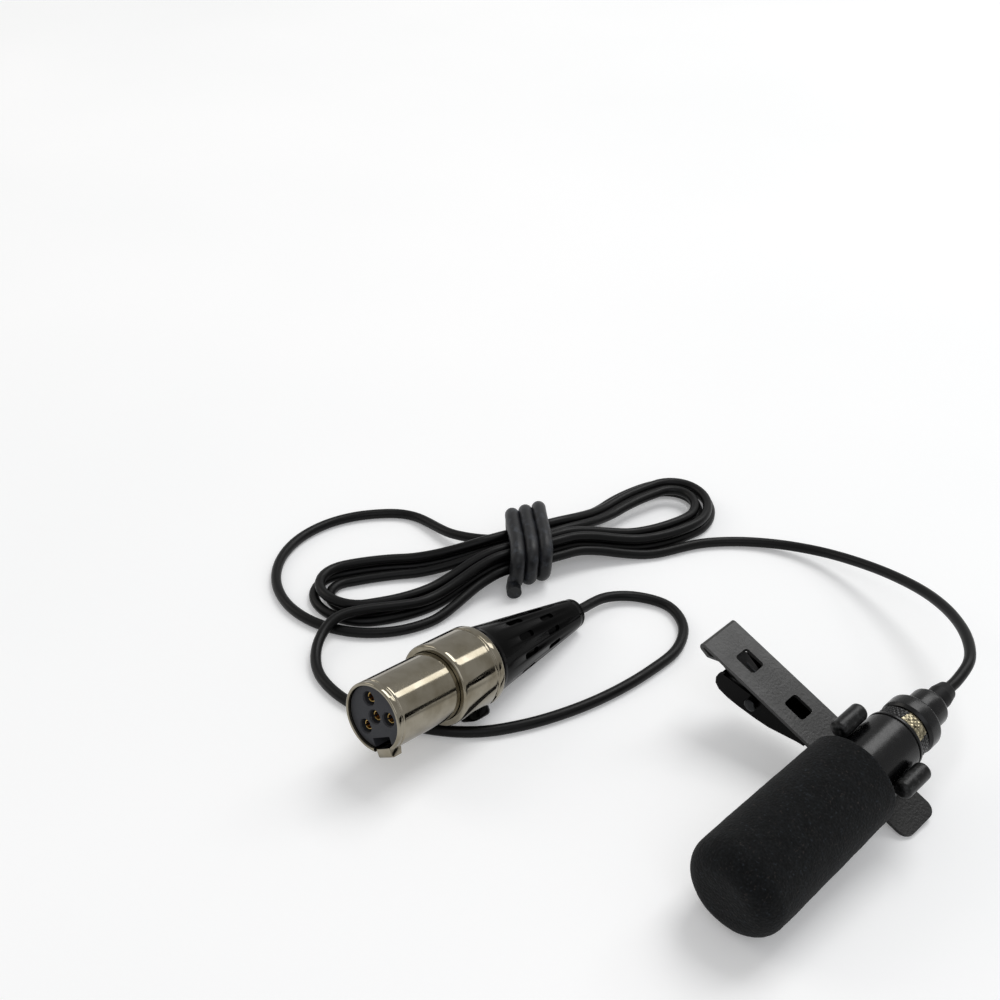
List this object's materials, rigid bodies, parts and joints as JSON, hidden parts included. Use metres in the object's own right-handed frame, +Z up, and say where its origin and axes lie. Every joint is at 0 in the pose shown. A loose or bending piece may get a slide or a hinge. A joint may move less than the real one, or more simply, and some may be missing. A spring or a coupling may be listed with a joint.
{
  "type": "lavalier microphone",
  "caption": "Clip-on lavalier microphone with foam windscreen, turning spring clip, tied cord hank and latching round plug.",
  "frame": {"origin": "on the surface it lies on, under the middle of the microphone head with its clip, cord and plug left out", "axes": "+Y along the microphone head towards its cord, +X across it, away from the cord hank, +Z up"},
  "size_m": [0.1062, 0.0861, 0.0149],
  "materials": {
    "foam": "open-cell foam, matte",
    "satin_black": "satin black coat, worn at the edges",
    "gloss_black": "glossy moulded",
    "insert_black": "matte moulded",
    "rubber": "matte rubber",
    "cord": "semi-matte jacket",
    "nickel": "bright nickel plate",
    "steel": "plain steel",
    "gold": "gold plate",
    "board": "coated board"
  },
  "bodies": {
    "microphone": {"mic_body": "satin_black", "front_grille": "satin_black", "capsule": "steel", "capsule_seat": "rubber", "preamp_board": "board", "threaded_collar": "nickel", "rear_cap": "satin_black", "gland_nut": "satin_black", "strain_relief": "rubber", "mic_lead": "cord", "cord_hank": "cord", "plug_lead": "cord", "hank_tie": "rubber", "plug_barrel": "nickel", "plug_grip": "nickel", "plug_insert": "insert_black", "contact_1": "gold", "contact_2": "gold", "contact_3": "gold", "contact_4": "gold", "cable_clamp": "insert_black", "plug_boot": "gloss_black"},
    "foam": {"windscreen": "foam"},
    "clip": {"mic_holder": "satin_black", "clip_strap": "satin_black", "holder_rivet": "steel", "pivot_pin": "steel", "clip_spring": "steel"},
    "lever": {"clip_lever": "satin_black"},
    "latch": {"plug_latch": "nickel", "latch_button": "gloss_black"}
  },
  "joints": [
    {"name": "windscreen_slide", "type": "slide", "parent": "microphone", "child": "foam", "axis": [0, -0.9962, -0.0872], "range_m": [0, 0.016]},
    {"name": "clip_turn", "type": "hinge", "parent": "microphone", "child": "clip", "pos_m": [0.00965, 0.00615, 0.00877], "axis": [0, 0.9962, 0.0872], "range_deg": [-180, 180]},
    {"name": "lever_pivot", "type": "hinge", "parent": "clip", "child": "lever", "pos_m": [-0.00838, 0.00959, 0.00734], "axis": [0, 0.9962, 0.0872], "range_deg": [0, 12], "stiffness_Nm_per_rad": 0.05, "springref_deg": -17.19, "deforming": ["clip_spring"]},
    {"name": "latch_press", "type": "hinge", "parent": "microphone", "child": "latch", "pos_m": [-0.03783, -0.01528, 0.00259], "axis": [-0.8355, -0.1706, -0.5223], "range_deg": [0, 3.5], "stiffness_Nm_per_rad": 0.1, "springref_deg": -5.73}
  ]
}
